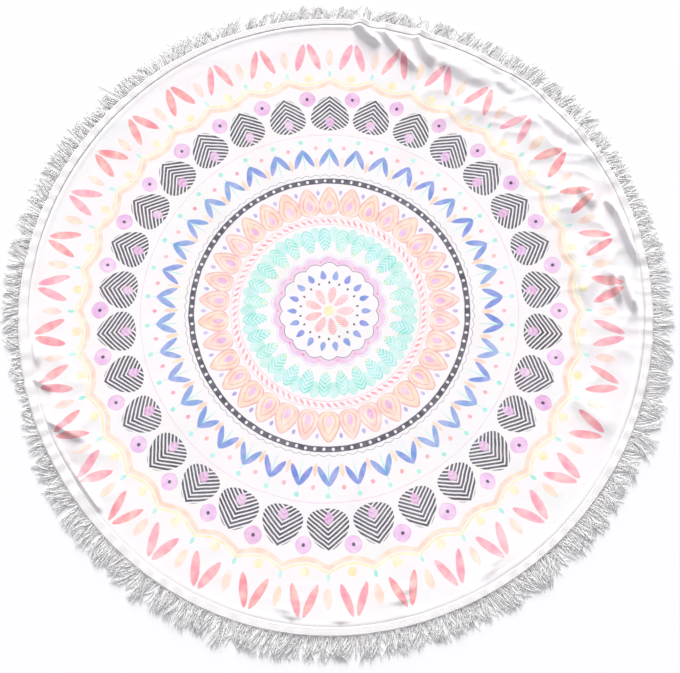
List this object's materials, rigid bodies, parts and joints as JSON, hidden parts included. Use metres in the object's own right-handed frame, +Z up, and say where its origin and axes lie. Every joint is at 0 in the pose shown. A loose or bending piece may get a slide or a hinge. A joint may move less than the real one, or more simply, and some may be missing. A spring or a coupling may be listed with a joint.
{
  "type": "round beach towel",
  "caption": "Round cotton beach towel laid flat, with a printed face, a sewn heading tape and a yarn fringe all round.",
  "frame": {"origin": "on the surface that the towel lies on, under the middle of the cloth", "axes": "+Z up from the surface through the printed face; +Y away from the viewer of the picture, +X to the viewer's right"},
  "size_m": [1.6056, 1.6201, 0.0164],
  "materials": {
    "printed_cloth": "short-nap cotton, printed in soft pastels on white",
    "tape": "white woven cotton tape, matt",
    "fringe_yarn": "white twisted cotton yarn, cut ends, matt"
  },
  "bodies": {
    "root": {"cloth": "printed_cloth", "heading_tape": "tape", "fringe": "fringe_yarn"}
  },
  "joints": []
}
